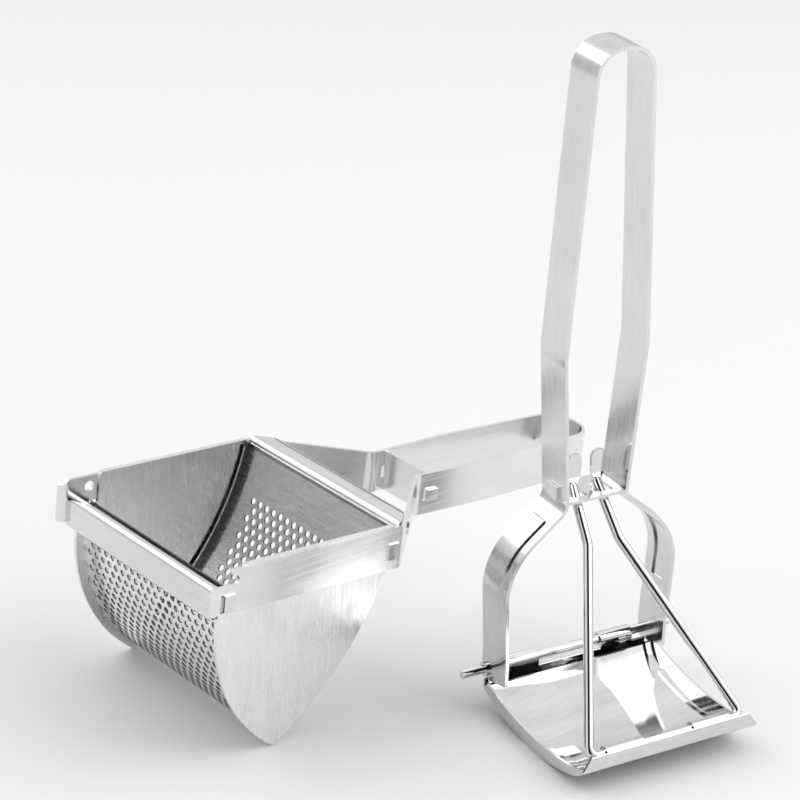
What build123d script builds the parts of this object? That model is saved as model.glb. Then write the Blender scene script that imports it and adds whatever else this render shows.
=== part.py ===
from build123d import *
from math import atan2, cos, degrees, hypot, radians, sin, sqrt
import os

# V-shaped potato ricer, taken apart into its two halves. Millimetres.
# Each half is drawn in its own frame: the hinge pin's axis is the origin, X runs across the ricer.
# Basket half: +Y runs to its handle. Plunger half: +Z runs up its handle, -Y over its plate.

# Stock sizes
STRAP = 1.5            # strap thickness
SHEET = 0.8            # thickness of walls, screens and rims
BASKET_STRAP_H = 18.0  # strap height on the basket half
PLUNGER_STRAP_H = 17.5 # strap width on the plunger half
WIRE_D = 4.0
PIN_D = 4.0
STUB_D = 3.4
RIB_H = 0.8            # how far a pressed rib stands proud
FIT = 0.05             # radial running clearance

# Basket half
HALF_W = 48.5          # half of the width over the straps
STRAP_TOP = 4.5        # strap's top edge above the pin
STRAP_LOW = STRAP_TOP - BASKET_STRAP_H
FRONT_Y = -10.0        # front end of the straps
CORNER_Y = 83.0        # where the straps turn in towards the handle
ROOT_Y = 119.0         # where they turn straight again
BRIDGE_Y = 125.5
HANDLE_END_Y = 222.0
EAR_HOLE_D = 4.4
SLOT_H = 3.9           # the hooked slot for the pin's other stub
FINGER_FRONT = -1.2    # front edge of the strap's finger over the slot, at the slot
FINGER_TOP = -2.6      # and at the strap's top
WALL_X = HALF_W - STRAP          # outer face of a side wall
SCREEN_X = WALL_X - SHEET        # end faces of the screens
FRONT_ARC = (66.0, -18.0)        # centre of the front edge's arc, as Y, Z
FRONT_R = 71.8
REAR_ARC = (-40.0, 24.3)         # centre of the rear edge's arc
REAR_R = 123.2
NOTCH = (4.2, -7.0)              # the corner cut out of a wall's front top, as Y, Z
TOP_FOLD = (41.5, 73.0)          # middle and length of the fold over the strap
FRONT_HEM = 6.0                  # how far the walls stand proud of the front screen, at its top
HEM = 2.0                        # and of both screens at the tip, and of the rear one all along
HOLE_D = 2.9
HOLE_PITCH = 4.44
FRONT_COLUMNS = 21
REAR_COLUMNS = 16
ROW_PITCH = HOLE_PITCH * 0.866
FRONT_ROW_Z = -20.1              # the first row of holes in each screen
REAR_ROW_Z = -16.6
FRONT_SCREEN_TOP = -6.0          # top edge of the front screen
BAND_LOW = -16.3                 # bottom of the front rim's band

TURNED_W = 3.0                   # width of the rear screen's turned-in edges
TURNED_GAP = 1.2                 # their distance from the walls
TURNED_CLEAR = 9.0               # where they stop, above the tip

# Plunger half
ARM_X = 38.4           # outer face of an arm
DEPTH_BACK = 3.0       # back edge of the plunger's strap
DEPTH_FRONT = DEPTH_BACK - PLUNGER_STRAP_H
DEPTH_MID = (DEPTH_BACK + DEPTH_FRONT) / 2
PLUNGER_BRIDGE_Z = 75.0
PLUNGER_TOP_Z = 260.0
STUB_END_X = 50.0
EDGE_Y = -72.0         # axis of the plate's free-edge knuckles
EDGE_Z = -2.5
WIRE_HOLE = (5.6, -6.5)  # X and Y of a wire's hole in the bridge
WIRE_FOOT_X = 35.8
KINK = (7.2, 80.0)     # where a wire kinks: X, and distance along it from the knuckles
TRAY_X = 40.6          # outer face of the plate's side flanges
TRAY_SHEET = 1.0

# How the two halves lie
BASKET_TILT = 3.9
PLUNGER_YAW = 79.5
PLUNGER_LEAN = -1.3
PLUNGER_AT = (76.6, 150.1)

os.makedirs("parts", exist_ok=True)


def arcs_meet(front_r, rear_r):
    """The lower point, as Y and Z, where the front and the rear arc cross."""
    dy = FRONT_ARC[0] - REAR_ARC[0]
    dz = FRONT_ARC[1] - REAR_ARC[1]
    gap = hypot(dy, dz)
    along = (rear_r**2 - front_r**2 + gap**2) / (2 * gap)
    off = sqrt(rear_r**2 - along**2)
    y = REAR_ARC[0] + (dy * along + dz * off) / gap
    z = REAR_ARC[1] + (dz * along - dy * off) / gap
    return (y, z)


def arc_point(centre, radius, angle):
    return (centre[0] + radius * cos(radians(angle)), centre[1] + radius * sin(radians(angle)))


def angle_of(centre, point):
    return degrees(atan2(point[1] - centre[1], point[0] - centre[0]))


def outline(corners, radii, grow):
    """A strap's outline, symmetrical about its long axis, as a sketch face. corners is one side."""
    with BuildSketch() as face:
        with BuildLine():
            mirrored = [(-x, y) for x, y in reversed(corners)]
            Polyline(*corners, *mirrored, close=True)
        make_face()
        for (x, y), r in zip(corners, radii):
            if r > 0:
                picked = [v for v in face.vertices() if abs(abs(v.X) - x) < 0.01 and abs(v.Y - y) < 0.01]
                fillet(picked, r)
        if grow:
            offset(amount=grow, kind=Kind.INTERSECTION)
    return face.sketch


def strap(corners, radii, plane, width, keep_from, rib_spans, rib_w):
    """A bent strap: the outline's wall, open at its start, with pressed ribs between two heights."""
    outer = outline(corners, radii, 0)
    inner = outline(corners, radii, -STRAP)
    proud = outline(corners, radii, RIB_H)
    sunk = outline(corners, radii, RIB_H - STRAP)
    with BuildPart() as band:
        with BuildSketch(plane):
            add(outer)
            add(inner, mode=Mode.SUBTRACT)
        extrude(amount=width / 2, both=True)
        for low, high in rib_spans:
            with BuildSketch(plane):
                add(proud)
                add(inner, mode=Mode.SUBTRACT)
                with Locations((0, (low + high) / 2)):
                    Rectangle(400, high - low, mode=Mode.INTERSECT)
            extrude(amount=rib_w / 2, both=True)
            with BuildSketch(plane):
                add(sunk)
                add(inner, mode=Mode.SUBTRACT)
                with Locations((0, (low + high) / 2)):
                    Rectangle(400, high - low - 2 * RIB_H, mode=Mode.INTERSECT)
            extrude(amount=rib_w / 2 - RIB_H, both=True, mode=Mode.SUBTRACT)
        with BuildSketch(plane):
            with Locations((0, keep_from - 50)):
                Rectangle(400, 100)
        extrude(amount=width, both=True, mode=Mode.SUBTRACT)
    return band.part


# ---------------------------------------------------------------- basket half
strap_mid_plane = Plane.XY.offset((STRAP_TOP + STRAP_LOW) / 2)
basket_corners = [
    (HALF_W, FRONT_Y - 20),
    (HALF_W, CORNER_Y),
    (14.0, ROOT_Y),
    (15.2, 158.0),
    (12.6, HANDLE_END_Y),
]
basket_radii = [0, 5.0, 6.0, 120.0, 11.5]
basket_strap = strap(
    basket_corners, basket_radii, strap_mid_plane, BASKET_STRAP_H, FRONT_Y, [], 0
)

SLOT_ROOM = 1.4                  # how much longer a tab's slot is than the tab is thick
BRIDGE_TAB = (5.0, 5.4)          # height and length of a bridge's folded tab
TAB_T = 1.2                      # thickness of the bridges
basket_tab_z = -5.0
leg_x = 14.15                    # outer face of a handle leg at the bridge
RIM_TAB_H = 7.5
FRONT_TAB = (-4.2, -9.1)         # centre of a front rim's tab, as Y, Z
REAR_TAB = (80.3, -5.5)
RIM_TAB_L = 5.0
LEAF_Y = 79.7                    # the rear rim's leaf, behind the screen
CURL_R = 1.7                     # inside of the curl at the left front end
CURL_DROP = 2.5                  # how far its top edge slopes down

# A round-ended rib pressed into each sloping length of the strap.
slope_from, slope_to = basket_corners[1], basket_corners[2]
slope_run = hypot(slope_to[0] - slope_from[0], slope_to[1] - slope_from[1])
slope_dir = ((slope_to[0] - slope_from[0]) / slope_run, (slope_to[1] - slope_from[1]) / slope_run)
SLOPE_RIB = (24.0, 7.0)          # overall length and width
SLOPE_RIB_AT = 29.0              # its middle, from the corner

with BuildPart() as basket_frame:
    add(basket_strap)
    for side in (-1, 1):
        out = (side * slope_dir[1], -slope_dir[0], 0)
        along = (side * slope_dir[0], slope_dir[1], 0)
        rib_x = side * (slope_from[0] + slope_dir[0] * SLOPE_RIB_AT)
        rib_y = slope_from[1] + slope_dir[1] * SLOPE_RIB_AT
        face = Plane(origin=(rib_x, rib_y, (STRAP_TOP + STRAP_LOW) / 2), x_dir=along, z_dir=out)
        with BuildSketch(face):
            SlotOverall(*SLOPE_RIB)
        extrude(amount=RIB_H)
        with BuildSketch(face.offset(-STRAP)):
            SlotOverall(SLOPE_RIB[0] - 2 * RIB_H, SLOPE_RIB[1] - 2 * RIB_H)
        extrude(amount=RIB_H, mode=Mode.SUBTRACT)
    with BuildSketch(Plane.YZ.offset(-HALF_W)):
        Circle(EAR_HOLE_D / 2)
    extrude(amount=STRAP, mode=Mode.SUBTRACT)
    # The hooked slot: open at the front, with a finger of strap left over its rear part.
    with BuildSketch(Plane.YZ.offset(HALF_W - STRAP)):
        Circle(SLOT_H / 2)
        with Locations(((FRONT_Y - 1) / 2, 0)):
            Rectangle(1 - FRONT_Y, SLOT_H)
        with BuildLine():
            Polyline(
                (FRONT_Y - 1, -SLOT_H / 2), (FINGER_FRONT, -SLOT_H / 2), (FINGER_FRONT, SLOT_H / 2),
                (FINGER_TOP, STRAP_TOP + 1),
                (FRONT_Y - 1, STRAP_TOP + 1), close=True,
            )
        make_face()
    extrude(amount=STRAP, mode=Mode.SUBTRACT)
    for side in (-1, 1):
        with Locations((side * (WALL_X + STRAP / 2), FRONT_TAB[0] - SLOT_ROOM / 2, FRONT_TAB[1])):
            Box(2 * STRAP, SHEET + SLOT_ROOM, RIM_TAB_H, mode=Mode.SUBTRACT)
        with Locations((side * (WALL_X + STRAP / 2), REAR_TAB[0], REAR_TAB[1])):
            Box(2 * STRAP, SHEET, RIM_TAB_H, mode=Mode.SUBTRACT)
        with Locations((side * leg_x, BRIDGE_Y - SLOT_ROOM / 2, basket_tab_z)):
            Box(4 * STRAP, TAB_T + SLOT_ROOM, BRIDGE_TAB[0], mode=Mode.SUBTRACT)
    # The left front end is curled outwards; its top corner slopes away.
    curl_at = (-HALF_W - CURL_R, FRONT_Y)
    with BuildSketch(Plane.XY.offset(STRAP_LOW)):
        with Locations(curl_at):
            Circle(CURL_R + STRAP)
            Circle(CURL_R, mode=Mode.SUBTRACT)
        with Locations((curl_at[0] + 10, FRONT_Y - 10)):
            Rectangle(20, 20, mode=Mode.INTERSECT)
    extrude(amount=BASKET_STRAP_H)
    with BuildSketch(Plane.YZ.offset(curl_at[0] - 1)):
        with BuildLine():
            Polyline(
                (FRONT_Y, STRAP_TOP), (FRONT_Y - CURL_R - STRAP, STRAP_TOP - CURL_DROP),
                (FRONT_Y - CURL_R - STRAP - 1, STRAP_TOP + 1), (FRONT_Y, STRAP_TOP + 1), close=True,
            )
        make_face()
    extrude(amount=CURL_R + STRAP + 2, mode=Mode.SUBTRACT)


def wall_profile():
    """A side wall's face: an upside-down pointed arch with its front top corner cut away."""
    tip = arcs_meet(FRONT_R, REAR_R)
    top = STRAP_TOP
    front_y = FRONT_ARC[0] - FRONT_R
    a_front = (angle_of(FRONT_ARC, tip) + 360 + 180) / 2
    rear_top = (REAR_ARC[0] + sqrt(REAR_R**2 - (top - REAR_ARC[1]) ** 2), top)
    a_rear = (angle_of(REAR_ARC, tip) + angle_of(REAR_ARC, rear_top)) / 2
    with BuildSketch() as face:
        with BuildLine():
            Polyline(
                (rear_top[0], top), (NOTCH[0], top), NOTCH, (front_y, NOTCH[1]), (front_y, FRONT_ARC[1])
            )
            ThreePointArc((front_y, FRONT_ARC[1]), arc_point(FRONT_ARC, FRONT_R, a_front), tip)
            ThreePointArc(tip, arc_point(REAR_ARC, REAR_R, a_rear), rear_top)
        make_face()
    return face.sketch


side_walls = {}
for name, side in (("left_side_wall", -1), ("right_side_wall", 1)):
    with BuildPart() as wall:
        outer_plane = Plane.YZ.offset(side * WALL_X)
        with BuildSketch(outer_plane):
            add(wall_profile())
        extrude(amount=-side * SHEET)
        # The hem: the edge of the V folded back on itself, inwards.
        with BuildSketch(Plane.YZ.offset(side * SCREEN_X)):
            add(wall_profile())
            with Locations(FRONT_ARC):
                Circle(FRONT_R - HEM, mode=Mode.SUBTRACT)
            with Locations((REAR_ARC[0] + 60, FRONT_ARC[1] + 50)):
                Rectangle(400, 100, mode=Mode.SUBTRACT)
        extrude(amount=-side * SHEET)
        with BuildSketch(Plane.YZ.offset(side * SCREEN_X)):
            add(wall_profile())
            with Locations(REAR_ARC):
                Circle(REAR_R - HEM, mode=Mode.SUBTRACT)
            with Locations((REAR_ARC[0] + 60, FRONT_ARC[1] + 50)):
                Rectangle(400, 100, mode=Mode.SUBTRACT)
        extrude(amount=-side * SHEET)
        # The top edge folds outwards over the strap.
        with Locations((side * (SCREEN_X + HALF_W) / 2, TOP_FOLD[0], STRAP_TOP + SHEET / 2)):
            Box(HALF_W - SCREEN_X, TOP_FOLD[1], SHEET)
        # Room for the rear rim and for the rims' tabs on their way through the strap.
        with Locations((side * WALL_X, LEAF_Y - SHEET / 2 + 10, STRAP_TOP - 2.5)):
            Box(6 * SHEET, 20.0, 25.0, mode=Mode.SUBTRACT)
        with Locations((side * WALL_X, FRONT_TAB[0], FRONT_TAB[1])):
            Box(6 * SHEET, SHEET, RIM_TAB_H, mode=Mode.SUBTRACT)
    side_walls[name] = wall.part


def screen(centre, radius, facing, start_y, start_z, first_row, columns, margin):
    """A curved screen with a plain top band. facing is 1 where it bulges to +Y, -1 to -Y."""
    tip = arcs_meet(FRONT_R - HEM, REAR_R - HEM)
    a_tip = angle_of(centre, tip)
    a_top = angle_of(centre, (start_y, start_z))
    a_row = angle_of(centre, (centre[0] + facing * sqrt(radius**2 - (first_row - centre[1]) ** 2), first_row))
    if facing < 0:
        a_tip, a_top, a_row = a_tip % 360, a_top % 360, a_row % 360
    inner = radius - SHEET
    trim = degrees(0.6 / radius) * (1 if facing > 0 else -1)
    a_end = a_tip + trim
    step = degrees(ROW_PITCH / radius) * (-1 if facing > 0 else 1)
    rows = int((abs(a_tip - a_row) - degrees(margin / radius)) / abs(step)) + 1
    with BuildPart() as sheet:
        with BuildSketch(Plane.YZ.offset(-SCREEN_X)):
            with BuildLine():
                mid = (a_top + a_end) / 2
                o = ThreePointArc(
                    arc_point(centre, radius, a_top), arc_point(centre, radius, mid), arc_point(centre, radius, a_end)
                )
                e = Line(o @ 1, arc_point(centre, inner, a_end))
                i = ThreePointArc(e @ 1, arc_point(centre, inner, mid), arc_point(centre, inner, a_top))
                Line(i @ 1, o @ 0)
            make_face()
        extrude(amount=2 * SCREEN_X)
        if start_z == FRONT_ARC[1]:
            with Locations((0, start_y + SHEET / 2, (start_z + FRONT_SCREEN_TOP) / 2)):
                Box(2 * SCREEN_X, SHEET, FRONT_SCREEN_TOP - start_z)
        else:
            # A turned-in edge beside each wall.
            a_low = a_end + degrees(TURNED_CLEAR / radius)
            for side in (-1, 1):
                with BuildSketch(Plane.YZ.offset(side * (SCREEN_X - TURNED_GAP))):
                    with BuildLine():
                        deep = inner - TURNED_W
                        mid = (a_top + a_low) / 2
                        o = ThreePointArc(
                            arc_point(centre, radius - SHEET / 2, a_top),
                            arc_point(centre, radius - SHEET / 2, mid),
                            arc_point(centre, radius - SHEET / 2, a_low),
                        )
                        e = Line(o @ 1, arc_point(centre, deep, a_low))
                        i = ThreePointArc(e @ 1, arc_point(centre, deep, mid), arc_point(centre, deep, a_top))
                        Line(i @ 1, o @ 0)
                    make_face()
                extrude(amount=-side * SHEET)
    tools = []
    for row in range(rows):
        angle = a_row + row * step
        count = columns - row % 2
        out = (0, cos(radians(angle)), sin(radians(angle)))
        at = arc_point(centre, inner - 1, angle)
        for column in range(count):
            x = (column - (count - 1) / 2) * HOLE_PITCH
            hole_plane = Plane(origin=(x, at[0], at[1]), x_dir=(1, 0, 0), z_dir=out)
            tools.append(hole_plane * Cylinder(HOLE_D / 2, 4, align=(Align.CENTER, Align.CENTER, Align.MIN)))
    return sheet.part.cut(*tools) if tools else sheet.part


screen_front_y = FRONT_ARC[0] - FRONT_R + FRONT_HEM
# The front screen's arc starts FRONT_HEM behind the walls' front edge and comes to within HEM of it at the tip.
screen_tip = arcs_meet(FRONT_R - HEM, REAR_R - HEM)
tip_dy, tip_dz = FRONT_ARC[0] - screen_tip[0], screen_tip[1] - FRONT_ARC[1]
top_run = FRONT_ARC[0] - screen_front_y
shift = (tip_dy**2 + tip_dz**2 - top_run**2) / (2 * (top_run - tip_dy))
front_screen = screen(
    (FRONT_ARC[0] + shift, FRONT_ARC[1]), top_run + shift, -1,
    screen_front_y, FRONT_ARC[1], FRONT_ROW_Z, FRONT_COLUMNS, 4.0,
)
REAR_TOP_Z = STRAP_TOP - 2.0
rear_top_y = REAR_ARC[0] + sqrt((REAR_R - HEM) ** 2 - (REAR_TOP_Z - REAR_ARC[1]) ** 2)
rear_screen = screen(REAR_ARC, REAR_R - HEM, 1, rear_top_y, REAR_TOP_Z, REAR_ROW_Z, REAR_COLUMNS, 4.0)

WEB = (-5.0, -6.0, 2.0)          # Y, Z and length of the web between the roll and the tabs
ROLL_R = 2.6
ROLL = (-7.2, -4.9)              # centre of the front roll, as Y, Z
band_y = ROLL[0] - ROLL_R        # front face of the band
with BuildPart() as front_rim:
    with BuildSketch(Plane.YZ.offset(-WALL_X)):
        with Locations(ROLL):
            Circle(ROLL_R)
        with BuildLine():
            Polyline(
                (band_y, ROLL[1]), (band_y, BAND_LOW + 1.5), (band_y + 1.5, BAND_LOW), (screen_front_y, BAND_LOW),
                (screen_front_y, BAND_LOW + SHEET), (band_y + 1.8, BAND_LOW + SHEET),
                (band_y + SHEET, BAND_LOW + 1.8), (band_y + SHEET, ROLL[1]), close=True,
            )
        make_face()
        with Locations(ROLL):
            Circle(ROLL_R - SHEET, mode=Mode.SUBTRACT)
    extrude(amount=2 * WALL_X)
    # The side walls' front edges pass inside the band.
    for side in (-1, 1):
        with Locations((side * (SCREEN_X + 5), FRONT_ARC[0] - FRONT_R + 5, FRONT_ARC[1])):
            Box(10, 10, 2 * (NOTCH[1] - FRONT_ARC[1]), mode=Mode.SUBTRACT)
    # A web from the roll back to the tabs, in front of the screen's plain band.
    with Locations((0, FRONT_TAB[0], FRONT_TAB[1])):
        Box(2 * WALL_X, SHEET, RIM_TAB_H)
    with Locations((0, WEB[0], WEB[1])):
        Box(2 * SCREEN_X, WEB[2], SHEET)
    for side in (-1, 1):
        with Locations((side * (WALL_X + STRAP / 2), FRONT_TAB[0], FRONT_TAB[1])):
            Box(STRAP, SHEET, RIM_TAB_H)
        with Locations((side * (HALF_W + SHEET / 2), FRONT_TAB[0] + RIM_TAB_L / 2 - SHEET / 2, FRONT_TAB[1])):
            Box(SHEET, RIM_TAB_L, RIM_TAB_H - 0.6)

RIM_Y = 85.4                     # middle of the rear roll
RIM_W = 11.0
RIM_H = 5.6
RIM_PROUD = 1.6                  # how far it stands above the straps
FOLD_LINE = (2.3, 0.5, 2.0)      # the slit along it: Y from the middle, width, depth
roll_z = STRAP_TOP + RIM_PROUD - RIM_H / 2
with BuildPart() as rear_rim:
    with BuildSketch(Plane.YZ.offset(-WALL_X)):
        with Locations((RIM_Y, roll_z)):
            SlotOverall(RIM_W, RIM_H)
            SlotOverall(RIM_W - 2 * SHEET, RIM_H - 2 * SHEET, mode=Mode.SUBTRACT)
        with Locations((RIM_Y + FOLD_LINE[0], roll_z + RIM_H / 2)):
            Rectangle(FOLD_LINE[1], FOLD_LINE[2], mode=Mode.SUBTRACT)
        with Locations((LEAF_Y, roll_z - 6.0)):
            Rectangle(SHEET, 12.0)
        with Locations((LEAF_Y + 0.6, roll_z)):
            Rectangle(2.0, SHEET)
    extrude(amount=2 * WALL_X)
    with BuildSketch(Plane.XY.offset(-20)):
        add(outline(basket_corners, basket_radii, -STRAP))
    extrude(amount=40, mode=Mode.INTERSECT)
    for side in (-1, 1):
        with Locations((side * (WALL_X - 2 * SHEET), REAR_TAB[0], REAR_TAB[1])):
            Box(4 * SHEET, SHEET, RIM_TAB_H)
        with Locations((side * (WALL_X + STRAP / 2), REAR_TAB[0], REAR_TAB[1])):
            Box(STRAP, SHEET, RIM_TAB_H)
        with Locations((side * (HALF_W + SHEET / 2), REAR_TAB[0] - RIM_TAB_L / 2 + SHEET / 2, REAR_TAB[1])):
            Box(SHEET, RIM_TAB_L, RIM_TAB_H - 0.6)

TAB_GAP = 0.3                    # a folded tab stands this far off the sloping leg at its root
leg_in = leg_x - STRAP
with BuildPart() as basket_bridge:
    with Locations((0, BRIDGE_Y, (STRAP_TOP + STRAP_LOW) / 2)):
        Box(2 * leg_in, TAB_T, BASKET_STRAP_H - 1.0)
    for side in (-1, 1):
        with Locations((side * (leg_in + (STRAP + TAB_T + TAB_GAP) / 2), BRIDGE_Y, basket_tab_z)):
            Box(STRAP + TAB_T + TAB_GAP, TAB_T, BRIDGE_TAB[0])
        fold_y = BRIDGE_Y + BRIDGE_TAB[1] / 2 - TAB_T / 2
        with Locations((side * (leg_x + TAB_T / 2 + TAB_GAP), fold_y, basket_tab_z)):
            Box(TAB_T, BRIDGE_TAB[1], BRIDGE_TAB[0])

# ---------------------------------------------------------------- plunger half
plunger_corners = [
    (ARM_X, -30.0),
    (ARM_X, 9.0),
    (41.0, 51.0),
    (14.4, 72.5),
    (19.4, 138.0),
    (12.8, PLUNGER_TOP_Z),
]
plunger_radii = [0, 30.0, 30.0, 5.0, 60.0, 12.0]
plunger_plane = Plane(origin=(0, DEPTH_MID, 0), x_dir=(1, 0, 0), z_dir=(0, -1, 0))
plunger_strap = strap(
    plunger_corners, plunger_radii, plunger_plane, PLUNGER_STRAP_H, -6.0, [(26.0, 67.5)], 9.0
)
PLUNGER_TAB = (7.0, 6.0)         # depth and folded length of the plunger bridge's tabs
BRIDGE_HOLE = (6.1, 6.6, 10.0)   # X, width and depth of its holes, which the spreading wire slides in
plunger_leg_x = 14.4 + (PLUNGER_BRIDGE_Z - 72.5) * (19.4 - 14.4) / (138.0 - 72.5)

with BuildPart() as plunger_frame:
    add(plunger_strap)
    # The arms' lower ends slope, to clear the plate as it swings.
    with BuildSketch(Plane.YZ.offset(-50)):
        with BuildLine():
            Polyline(
                (DEPTH_FRONT - 1, -1.0), (-2.0, -4.2), (1.0, -4.2), (DEPTH_BACK, -2.5), (DEPTH_BACK + 1, -2.5),
                (DEPTH_BACK + 1, -20), (DEPTH_FRONT - 1, -20), close=True,
            )
        make_face()
    extrude(amount=100, mode=Mode.SUBTRACT)
    with BuildSketch(Plane.YZ.offset(-50)):
        Circle(PIN_D / 2 + FIT)
    extrude(amount=100, mode=Mode.SUBTRACT)
    for side in (-1, 1):
        with Locations((side * plunger_leg_x, DEPTH_MID, PLUNGER_BRIDGE_Z)):
            Box(6 * STRAP, PLUNGER_TAB[0], TAB_T, mode=Mode.SUBTRACT)

plunger_in = plunger_leg_x - STRAP
with BuildPart() as plunger_bridge:
    with Locations((0, DEPTH_MID, PLUNGER_BRIDGE_Z)):
        Box(2 * plunger_in - 0.1, PLUNGER_STRAP_H, TAB_T)
    for side in (-1, 1):
        through = STRAP + 2 * TAB_T + TAB_GAP
        with Locations((side * (plunger_in - TAB_T + through / 2), DEPTH_MID, PLUNGER_BRIDGE_Z)):
            Box(through, PLUNGER_TAB[0], TAB_T)
        fold_x = plunger_leg_x + TAB_T / 2 + TAB_GAP
        tab_low = (side * fold_x, DEPTH_MID, PLUNGER_BRIDGE_Z + PLUNGER_TAB[1] / 2 - TAB_T / 2)
        with Locations(Location(tab_low, (0, side * 4.4, 0))):
            Box(TAB_T, PLUNGER_TAB[0], PLUNGER_TAB[1])
    for side in (-1, 1):
        with Locations((side * BRIDGE_HOLE[0], WIRE_HOLE[1], PLUNGER_BRIDGE_Z)):
            Box(BRIDGE_HOLE[1], BRIDGE_HOLE[2], 3 * TAB_T, mode=Mode.SUBTRACT)

COLLAR_D = 6.0
COLLAR_T = 1.2
with BuildPart() as hinge_pin:
    with BuildSketch(Plane.YZ.offset(-ARM_X)):
        Circle(PIN_D / 2)
    extrude(amount=2 * ARM_X)
    for side in (-1, 1):
        with BuildSketch(Plane.YZ.offset(side * ARM_X)):
            Circle(COLLAR_D / 2)
        extrude(amount=side * COLLAR_T)
        with BuildSketch(Plane.YZ.offset(side * (ARM_X + COLLAR_T))):
            Circle(STUB_D / 2)
        extrude(amount=side * (STUB_END_X - ARM_X - COLLAR_T))
    chamfer(hinge_pin.faces().sort_by(Axis.X)[0].edges(), 0.4)
    chamfer(hinge_pin.faces().sort_by(Axis.X)[-1].edges(), 0.4)

# The plate's side profile, as Y, Z: a sagging arc, then up to the free edge.
TRAY_REAR = (-2.6, -6.4)
TRAY_LOW = (-37.0, -14.8)
TRAY_FRONT = (-71.0, -9.2)
LIP_LOW = (-75.6, -5.9)          # the free edge's fold
LIP_TOP = (-75.1, -0.7)
LIP_MITRE = 4.2                  # how much shorter the lip is at its top, at each end
KNUCKLE_R = PIN_D / 2 + FIT + TRAY_SHEET
WIRE_KNUCKLE_R = WIRE_D / 2 + FIT + TRAY_SHEET
FLANGE_H = 5.5
SIDE_HEM_W = 6.0                 # the plate's side edges are folded flat onto it
SIDE_HEM_AT = (0.23, 0.58, 0.93)  # where that fold runs, as parts of the sagging arc
SIDE_HEM_RISE = TRAY_SHEET - 0.05
REAR_KNUCKLES = ((15.0, 30.0), (-30.0, -15.0))
FRONT_KNUCKLES = ((11.5, 28.8), (-28.8, -11.5))

with BuildPart() as plunger_plate:
    with BuildSketch(Plane.YZ.offset(-TRAY_X)):
        with BuildLine():
            rear_line = Line((-WIRE_D / 2 - FIT - TRAY_SHEET / 2, -3.2), TRAY_REAR)
            sag = ThreePointArc(TRAY_REAR, TRAY_LOW, TRAY_FRONT)
            front_line = Line(TRAY_FRONT, LIP_LOW)
            lip_line = Line(LIP_LOW, LIP_TOP)
            offset(amount=TRAY_SHEET / 2, side=Side.BOTH)
        make_face()
    extrude(amount=2 * TRAY_X)
    # The lip's ends are mitred.
    with BuildSketch(Plane.XZ.offset(-LIP_LOW[0] - 4)):
        for side in (-1, 1):
            with BuildLine():
                Polyline(
                    (side * (TRAY_X - LIP_MITRE), LIP_TOP[1] + 1), (side * TRAY_X, LIP_LOW[1] + 0.5),
                    (side * (TRAY_X + 1), LIP_LOW[1] + 0.5), (side * (TRAY_X + 1), LIP_TOP[1] + 1), close=True,
                )
            make_face()
    extrude(amount=8, mode=Mode.SUBTRACT)
    for side in (-1, 1):
        with BuildSketch(Plane.YZ.offset(side * (TRAY_X - TRAY_SHEET / 2))):
            with BuildLine():
                low = ThreePointArc(TRAY_REAR, TRAY_LOW, TRAY_FRONT)
                up = Line(low @ 1, (LIP_LOW[0], LIP_LOW[1] + 0.3))
                high = ThreePointArc(up @ 1, (TRAY_LOW[0], TRAY_LOW[1] + FLANGE_H), (-5.2, -3.8))
                Line(high @ 1, low @ 0)
            make_face()
        extrude(amount=TRAY_SHEET / 2, both=True)
        with BuildSketch(Plane.YZ.offset(side * (TRAY_X - TRAY_SHEET / 2))):
            with BuildLine():
                run = ThreePointArc(TRAY_REAR, TRAY_LOW, TRAY_FRONT, mode=Mode.PRIVATE)
                ThreePointArc(*(run @ at + Vector(0, SIDE_HEM_RISE) for at in SIDE_HEM_AT))
                offset(amount=TRAY_SHEET / 2, side=Side.BOTH)
            make_face()
        extrude(amount=-side * SIDE_HEM_W)
        # The rear lip is notched where the arms stand.
        with Locations((side * (ARM_X - STRAP / 2), -1.5, -1.0)):
            Box(STRAP + 0.8, 6.0, 8.6, mode=Mode.SUBTRACT)
    for spans, centre, ring, bore in (
        (REAR_KNUCKLES, (0, 0), KNUCKLE_R, PIN_D / 2 + FIT),
        (FRONT_KNUCKLES, (EDGE_Y, EDGE_Z), WIRE_KNUCKLE_R, WIRE_D / 2 + FIT),
    ):
        for low_x, high_x in spans:
            with BuildSketch(Plane.YZ.offset(low_x)):
                with Locations(centre):
                    Circle(ring)
                if centre[0] == 0:
                    with Locations((centre[0] - ring + TRAY_SHEET / 2, centre[1] - 2.0)):
                        Rectangle(TRAY_SHEET, 4.0)
                with Locations(centre):
                    Circle(bore, mode=Mode.SUBTRACT)
            extrude(amount=high_x - low_x)

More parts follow.
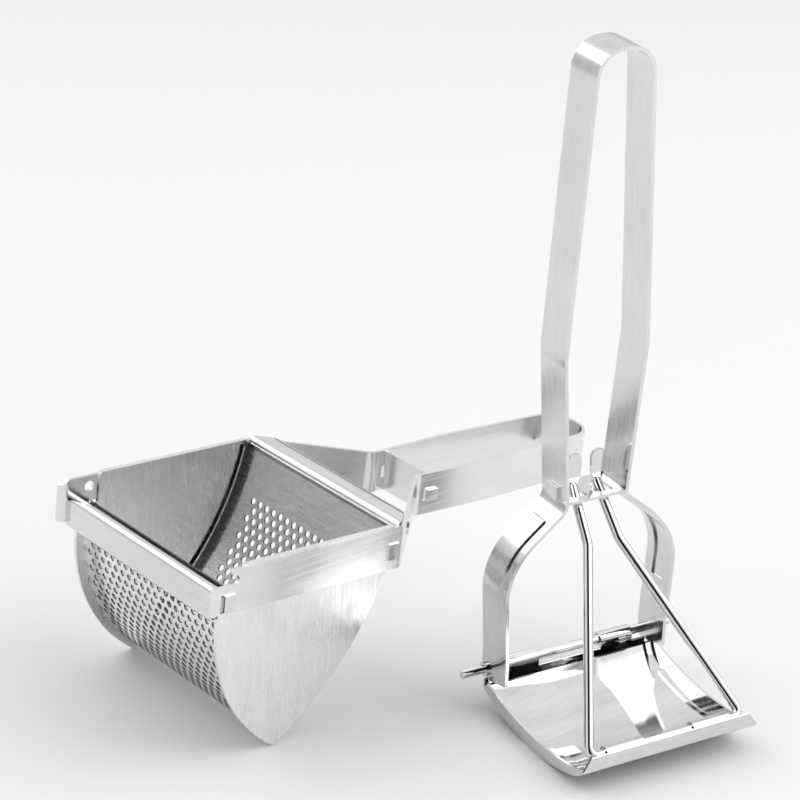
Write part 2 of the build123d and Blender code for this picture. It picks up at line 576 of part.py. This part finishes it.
# The wire, bent in one inclined plane from the knuckles up through the bridge's holes.
run_y = WIRE_HOLE[1] - EDGE_Y
run_z = PLUNGER_BRIDGE_Z - EDGE_Z
wire_run = hypot(run_y, run_z)
wire_up = (0, run_y / wire_run, run_z / wire_run)
wire_plane = Plane(
    origin=(0, EDGE_Y, EDGE_Z), x_dir=(1, 0, 0), z_dir=(0, -wire_up[2], wire_up[1])
)
BEND_AT = 2.7                    # the legs turn upright this far past the holes, along the wire
PADDLE = (6.6, 1.7, 12.5)        # width, thickness and length of a flattened end
NECK = (3.4, 1.5)                # width of a paddle's foot, and how far it stands above the bend
wire_end = wire_run + BEND_AT
bend_at = (WIRE_HOLE[0], WIRE_HOLE[1] + BEND_AT * wire_up[1], PLUNGER_BRIDGE_Z + BEND_AT * wire_up[2])
with BuildPart() as push_wire:
    with BuildLine(wire_plane) as wire_path:
        FilletPolyline(
            (-WIRE_HOLE[0], wire_end), (-KINK[0], KINK[1]), (-WIRE_FOOT_X, 0),
            (WIRE_FOOT_X, 0), (KINK[0], KINK[1]), (WIRE_HOLE[0], wire_end),
            radius=[10.0, 3.0, 3.0, 10.0],
        )
    with BuildSketch(Plane(origin=wire_path.line @ 0, z_dir=wire_path.line % 0)):
        Circle(WIRE_D / 2)
    sweep(path=wire_path.line)
    for side in (-1, 1):
        with Locations((side * bend_at[0], bend_at[1], bend_at[2])):
            Sphere(WIRE_D / 2)
        # A flattened, upright end: narrow at its foot, its top corners cut off.
        with BuildSketch(Plane.XZ.offset(-bend_at[1] - PADDLE[1] / 2)):
            with BuildLine():
                low, high = bend_at[2] + NECK[1], bend_at[2] + NECK[1] + PADDLE[2]
                half = PADDLE[0] / 2
                middle = side * bend_at[0]
                Polyline(
                    (middle - NECK[0] / 2, bend_at[2]), (middle - NECK[0] / 2, low), (middle - half + 0.4, low + 2.4),
                    (middle - half, high - 2.6), (middle - half + 1.2, high - 0.5), (middle, high),
                    (middle + half - 1.2, high - 0.5), (middle + half, high - 2.6), (middle + half - 0.4, low + 2.4),
                    (middle + NECK[0] / 2, low), (middle + NECK[0] / 2, bend_at[2]), close=True,
                )
            make_face()
        extrude(amount=PADDLE[1])

# ---------------------------------------------------------------- placing and export
tip = arcs_meet(FRONT_R, REAR_R)
tilt = Location((0, 0, 0), (-BASKET_TILT, 0, 0))
basket_lift = -(tip[0] * sin(radians(-BASKET_TILT)) + tip[1] * cos(radians(-BASKET_TILT)))
lean = Location((0, 0, 0), (0, PLUNGER_LEAN, 0))
belly = (lean * plunger_plate.part).bounding_box().min.Z
basket_place = Location((0, 0, basket_lift)) * tilt
plunger_place = Location((PLUNGER_AT[0], PLUNGER_AT[1], -belly), (0, 0, PLUNGER_YAW)) * lean

basket_pieces = {
    "basket_frame": basket_frame.part,
    "basket_bridge": basket_bridge.part,
    "front_rim": front_rim.part,
    "rear_rim": rear_rim.part,
    "front_screen": front_screen,
    "rear_screen": rear_screen,
    **side_walls,
}
plunger_pieces = {
    "plunger_frame": plunger_frame.part,
    "plunger_bridge": plunger_bridge.part,
    "hinge_pin": hinge_pin.part,
    "plunger_plate": plunger_plate.part,
    "push_wire": push_wire.part,
}
placed = {name: basket_place * piece for name, piece in basket_pieces.items()}
placed.update({name: plunger_place * piece for name, piece in plunger_pieces.items()})

# The origin is the bottom centre of the whole layout's box.
boxes = [piece.bounding_box() for piece in placed.values()]
middle_x = (min(b.min.X for b in boxes) + max(b.max.X for b in boxes)) / 2
middle_y = (min(b.min.Y for b in boxes) + max(b.max.Y for b in boxes)) / 2
bottom = min(b.min.Z for b in boxes)
to_origin = Location((-middle_x, -middle_y, -bottom))
for name, piece in placed.items():
    final = to_origin * piece
    final.label = name
    export_step(final, f"parts/{name}.step")


def report(name, place, point):
    """Print where a named point of a half's own frame stands, for the record."""
    at = (to_origin * place * Location(point)).position
    print(name, round(at.X, 3), round(at.Y, 3), round(at.Z, 3))


report("basket pin seat", basket_place, (0, 0, 0))
report("basket ear hole", basket_place, (-HALF_W + STRAP / 2, 0, 0))
report("basket handle loop", basket_place, (0, HANDLE_END_Y - 6.0, STRAP_TOP))
report("plunger pin", plunger_place, (0, 0, 0))
report("one metre along the plunger's X", plunger_place, (1000, 0, 0))
report("one metre along the plunger's Y", plunger_place, (0, 1000, 0))
report("one metre along the plunger's Z", plunger_place, (0, 0, 1000))
report("plate free edge", plunger_place, (0, EDGE_Y, EDGE_Z))
report("pin left end", plunger_place, (-STUB_END_X, 0, 0))
report("plunger handle loop", plunger_place, (0, DEPTH_MID, PLUNGER_TOP_Z - 4.0))
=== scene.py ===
"""Looks for the potato ricer: stainless steel finishes, a pale studio floor, soft light and the camera."""

from math import cos, radians, sin

import bmesh
import bpy
from mathutils import Matrix, Vector

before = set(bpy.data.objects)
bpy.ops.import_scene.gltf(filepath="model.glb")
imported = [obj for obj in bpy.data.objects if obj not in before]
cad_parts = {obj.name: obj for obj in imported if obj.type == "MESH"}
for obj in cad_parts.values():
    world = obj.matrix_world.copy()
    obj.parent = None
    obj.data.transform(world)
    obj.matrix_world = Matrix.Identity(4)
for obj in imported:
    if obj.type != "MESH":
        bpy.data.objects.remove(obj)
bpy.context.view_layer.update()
MM = 0.001

# ---------------------------------------------------------------- camera, fitted to both halves on one floor
CAMERA_AT = Vector((0.7442, -0.6933, 0.5912))
AZIMUTH = radians(-48.39)
ELEVATION = radians(24.46)
ROLL = radians(3.35)
FOCAL_LENGTH = 130.0
SENSOR = 36.0

# ---------------------------------------------------------------- finishes
LIGHT = (0.88, 0.88, 0.885)   # colours, from the palest sheet down to the polished plate
SOFT = (0.87, 0.87, 0.875)
STRAP_LIGHT = (0.80, 0.80, 0.805)
BRIGHT = (0.74, 0.74, 0.745)
STRAP_DARK = (0.72, 0.72, 0.725)
POLISHED = (0.70, 0.70, 0.705)
BRUSH_PER_M = 900.0          # brushing lines per metre, across the brushing
SMUDGE_PER_M = 28.0          # soft variation
SCRATCH_PER_M = 160.0
WAVE_PER_M = 30.0            # how closely a thin sheet wavers
FRONT_AXIS = (-0.0392, 0.0579)  # Y and Z of the axes the screens curve round
REAR_AXIS = (-0.1421, 0.1073)
HOLE_SHADE_LEVEL = 0.12            # how dark the painted shade on the punched holes' walls is
SMOOTHEST = 0.03             # the least roughness anywhere
FINE_BUMP = 0.02             # mm


def nodes_of(material):
    material.use_nodes = True
    tree = material.node_tree
    shader = next(n for n in tree.nodes if n.type == "BSDF_PRINCIPLED")
    return tree, shader


def noise(tree, vector, scale, detail=3.0, roughness=0.55):
    node = tree.nodes.new("ShaderNodeTexNoise")
    node.inputs["Scale"].default_value = scale
    node.inputs["Detail"].default_value = detail
    node.inputs["Roughness"].default_value = roughness
    tree.links.new(vector, node.inputs["Vector"])
    return node.outputs["Fac"]


def remap(tree, value, low, high, to_low, to_high):
    node = tree.nodes.new("ShaderNodeMapRange")
    for name, number in (("From Min", low), ("From Max", high), ("To Min", to_low), ("To Max", to_high)):
        node.inputs[name].default_value = number
    tree.links.new(value, node.inputs["Value"])
    return node.outputs["Result"]


def combine(tree, operation, first, second):
    node = tree.nodes.new("ShaderNodeMath")
    node.operation = operation
    for socket, value in zip(node.inputs, (first, second)):
        if isinstance(value, (int, float)):
            socket.default_value = value
        else:
            tree.links.new(value, socket)
    return node.outputs[0]


def brushed_coordinates(tree, along, stretch):
    """Object coordinates squeezed along one axis, so that noise becomes lines along it."""
    coordinates = tree.nodes.new("ShaderNodeTexCoord")
    mapping = tree.nodes.new("ShaderNodeMapping")
    scale = [1.0, 1.0, 1.0]
    scale["XYZ".index(along)] = 1.0 / stretch
    mapping.inputs["Scale"].default_value = scale
    tree.links.new(coordinates.outputs["Object"], mapping.inputs["Vector"])
    return coordinates.outputs["Object"], mapping.outputs["Vector"]


def painted_hole_shade(tree, plain, axis_at):
    """1 on a curved screen's faces, lower on the punched holes' walls, which stand across its radius: painted
    shade in the holes.
    """
    spoke = plain
    for operation, value in (("SUBTRACT", (0, *axis_at)), ("MULTIPLY", (0, 1, 1)), ("NORMALIZE", None)):
        node = tree.nodes.new("ShaderNodeVectorMath")
        node.operation = operation
        tree.links.new(spoke, node.inputs[0])
        if value:
            node.inputs[1].default_value = value
        spoke = node.outputs["Vector"]
    facing = tree.nodes.new("ShaderNodeVectorMath")
    facing.operation = "DOT_PRODUCT"
    tree.links.new(spoke, facing.inputs[0])
    tree.links.new(tree.nodes.new("ShaderNodeTexCoord").outputs["Normal"], facing.inputs[1])
    return remap(tree, combine(tree, "ABSOLUTE", facing.outputs["Value"], 0), 0.5, 0.8, HOLE_SHADE_LEVEL, 1.0)


def steel(name, along, roughness, spread, bump, tint, stretch, wave=0.0, mottle=0.6, axis_at=None):
    """Stainless steel: fine brushing along one axis, soft smudges and a few scratches."""
    material = bpy.data.materials.new(name)
    tree, shader = nodes_of(material)
    plain, squeezed = brushed_coordinates(tree, along, stretch)
    lines = noise(tree, squeezed, BRUSH_PER_M, 4.0, 0.65)
    smudge = noise(tree, plain, SMUDGE_PER_M, 3.0)
    scratches = noise(tree, squeezed, SCRATCH_PER_M, 6.0, 0.75)
    line_part = remap(tree, lines, 0.3, 0.7, -spread, spread)
    smudge_part = remap(tree, smudge, 0.35, 0.65, -spread * mottle, spread * mottle)
    rough = combine(tree, "ADD", combine(tree, "ADD", line_part, smudge_part), roughness)
    clamp = tree.nodes.new("ShaderNodeClamp")
    clamp.inputs["Min"].default_value = SMOOTHEST
    tree.links.new(rough, clamp.inputs["Value"])
    tree.links.new(clamp.outputs["Result"], shader.inputs["Roughness"])
    # The colour varies a little with the brushing and with smudges.
    ramp = tree.nodes.new("ShaderNodeMix")
    ramp.data_type = "RGBA"
    ramp.inputs["A"].default_value = (*[c * 0.86 for c in tint], 1)
    ramp.inputs["B"].default_value = (*[min(1.0, c * 1.10) for c in tint], 1)
    shade = combine(
        tree, "ADD", remap(tree, lines, 0.3, 0.7, 0.25, 0.75), remap(tree, smudge, 0.3, 0.7, -0.2, 0.2)
    )
    tree.links.new(shade, ramp.inputs["Factor"])
    colour = ramp.outputs["Result"]
    # Painted shade: the walls of the punched holes and the sheet's cut edges are darkened in the colour.
    if axis_at:
        darker = tree.nodes.new("ShaderNodeVectorMath")
        darker.operation = "SCALE"
        tree.links.new(colour, darker.inputs[0])
        tree.links.new(painted_hole_shade(tree, plain, axis_at), darker.inputs["Scale"])
        colour = darker.outputs["Vector"]
    tree.links.new(colour, shader.inputs["Base Color"])
    shader.inputs["Metallic"].default_value = 1.0
    fine = tree.nodes.new("ShaderNodeBump")
    fine.inputs["Strength"].default_value = bump
    fine.inputs["Distance"].default_value = FINE_BUMP * MM
    tree.links.new(combine(tree, "ADD", lines, scratches), fine.inputs["Height"])
    if wave:
        # The sheet isn't quite flat, so what it reflects wavers.
        broad = tree.nodes.new("ShaderNodeBump")
        broad.inputs["Strength"].default_value = 1.0
        broad.inputs["Distance"].default_value = wave * MM
        tree.links.new(noise(tree, plain, WAVE_PER_M, 1.0, 0.4), broad.inputs["Height"])
        tree.links.new(broad.outputs["Normal"], fine.inputs["Normal"])
    tree.links.new(fine.outputs["Normal"], shader.inputs["Normal"])
    return material


BASKET_STRAP = steel("strap_brushed_basket", "Y", 0.20, 0.05, 0.25, tint=STRAP_LIGHT, stretch=70.0, wave=0.15)
PLUNGER_STRAP = steel("strap_brushed_plunger", "Z", 0.18, 0.05, 0.25, tint=STRAP_DARK, stretch=70.0, wave=0.15)
WALL = steel("wall_brushed", "Z", 0.30, 0.12, 0.45, tint=SOFT, stretch=12.0, wave=0.35, mottle=1.0)
FRONT_SCREEN = steel(
    "screen_satin_front", "X", 0.22, 0.06, 0.25, tint=LIGHT, stretch=30.0, wave=0.3, axis_at=FRONT_AXIS
)
REAR_SCREEN = steel(
    "screen_satin_rear", "X", 0.26, 0.06, 0.25, tint=LIGHT, stretch=30.0, wave=0.3, axis_at=REAR_AXIS
)
RIM = steel("rim_polished", "X", 0.07, 0.03, 0.1, tint=BRIGHT, stretch=50.0, wave=0.4)
PLATE = steel("plate_mirror", "Y", 0.05, 0.02, 0.06, tint=POLISHED, stretch=25.0, wave=0.08)
WIRE = steel("wire_bright", "Z", 0.06, 0.03, 0.15, tint=STRAP_DARK, stretch=40.0)

FINISHES = {
    "basket_frame": BASKET_STRAP,
    "basket_bridge": BASKET_STRAP,
    "front_rim": RIM,
    "rear_rim": RIM,
    "front_screen": FRONT_SCREEN,
    "rear_screen": REAR_SCREEN,
    "left_side_wall": WALL,
    "right_side_wall": WALL,
    "plunger_frame": PLUNGER_STRAP,
    "plunger_bridge": PLUNGER_STRAP,
    "hinge_pin": WIRE,
    "plunger_plate": PLATE,
    "push_wire": WIRE,
}
for node_name, finish in FINISHES.items():
    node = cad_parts[node_name]
    node.material_slots[0].material = finish

# ---------------------------------------------------------------- studio
FLOOR_HALF = 6.0
PAPER = (0.77, 0.77, 0.775)
PAPER_ROUGHNESS = 0.7
DARK_FRONT = (0.748, -0.664, 0.0)  # the unlit part of the room is an upright band on this side
DARK_ACROSS = (0.664, 0.748, 0.0)
DARK_MIDDLE = -0.08                # the band's middle, half width and soft edge, across
DARK_HALF = 0.30
DARK_SOFT = 0.14
DARK_LEVEL = 0.01
SKY_LEVEL = 1.2


def floor():
    """A wide plain floor."""
    mesh = bpy.data.meshes.new("floor")
    piece = bpy.data.objects.new("floor", mesh)
    bpy.context.collection.objects.link(piece)
    grid = bmesh.new()
    bmesh.ops.create_grid(grid, x_segments=1, y_segments=1, size=FLOOR_HALF)
    grid.to_mesh(mesh)
    grid.free()
    material = bpy.data.materials.new("floor_paper")
    tree, shader = nodes_of(material)
    shader.inputs["Base Color"].default_value = (*PAPER, 1)
    shader.inputs["Roughness"].default_value = PAPER_ROUGHNESS
    mesh.materials.append(material)


def area_light(name, place, target, size, power):
    data = bpy.data.lights.new(name, "AREA")
    data.shape = "RECTANGLE"
    data.size, data.size_y = size
    data.energy = power
    light = bpy.data.objects.new(name, data)
    light.location = place
    light.rotation_euler = (Vector(target) - Vector(place)).to_track_quat("-Z", "Y").to_euler()
    bpy.context.collection.objects.link(light)


def component(tree, direction, axis):
    node = tree.nodes.new("ShaderNodeVectorMath")
    node.operation = "DOT_PRODUCT"
    tree.links.new(direction, node.inputs[0])
    node.inputs[1].default_value = axis
    return node.outputs["Value"]


def studio_world():
    """Bright, even surroundings with one dark band, which draws dark lines down the round pieces."""
    world = bpy.data.worlds.new("studio")
    bpy.context.scene.world = world
    world.use_nodes = True
    tree = world.node_tree
    background = next(n for n in tree.nodes if n.type == "BACKGROUND")
    coordinates = tree.nodes.new("ShaderNodeTexCoord")
    direction = coordinates.outputs["Generated"]
    split = tree.nodes.new("ShaderNodeSeparateXYZ")
    tree.links.new(direction, split.inputs["Vector"])
    off_middle = combine(tree, "SUBTRACT", component(tree, direction, DARK_ACROSS), DARK_MIDDLE)
    across = combine(tree, "ABSOLUTE", off_middle, 0)
    beside = remap(tree, across, DARK_HALF, DARK_HALF + DARK_SOFT, DARK_LEVEL, 1.0)
    behind = remap(tree, component(tree, direction, DARK_FRONT), 0.2, 0.4, 1.0, 0.0)
    dark = combine(tree, "MAXIMUM", beside, behind)
    height = remap(tree, split.outputs["Z"], 0.1, 0.9, 0.8, SKY_LEVEL)
    band = tree.nodes.new("ShaderNodeTexNoise")
    band.inputs["Scale"].default_value = 1.8
    band.inputs["Detail"].default_value = 1.0
    tree.links.new(direction, band.inputs["Vector"])
    shade = remap(tree, band.outputs["Fac"], 0.42, 0.58, 0.8, 1.0)
    level = combine(tree, "MULTIPLY", combine(tree, "MULTIPLY", dark, height), shade)
    tree.links.new(level, background.inputs["Strength"])
    background.inputs["Color"].default_value = (1, 1, 1, 1)


floor()
studio_world()
area_light("key_softbox", (0.9, 1.0, 1.3), (0, 0, 0.05), (1.8, 1.8), 17.5)
area_light("fill_softbox", (-1.0, -0.6, 1.4), (0, 0, 0.05), (1.4, 1.4), 8.0)

view = bpy.context.scene.view_settings
view.view_transform = "Standard"
view.exposure = 0.0


def camera():
    forward = Vector((sin(AZIMUTH) * cos(ELEVATION), cos(AZIMUTH) * cos(ELEVATION), -sin(ELEVATION)))
    right = forward.cross(Vector((0, 0, 1))).normalized()
    up = right.cross(forward)
    data = bpy.data.cameras.new("camera")
    data.lens = FOCAL_LENGTH
    data.sensor_width = SENSOR
    piece = bpy.data.objects.new("camera", data)
    turned_right = right * cos(ROLL) + up * sin(ROLL)
    turned_up = up * cos(ROLL) - right * sin(ROLL)
    rotation = Matrix((turned_right, turned_up, -forward)).transposed().to_4x4()
    piece.matrix_world = Matrix.Translation(CAMERA_AT) @ rotation
    bpy.context.collection.objects.link(piece)
    bpy.context.scene.camera = piece


camera()
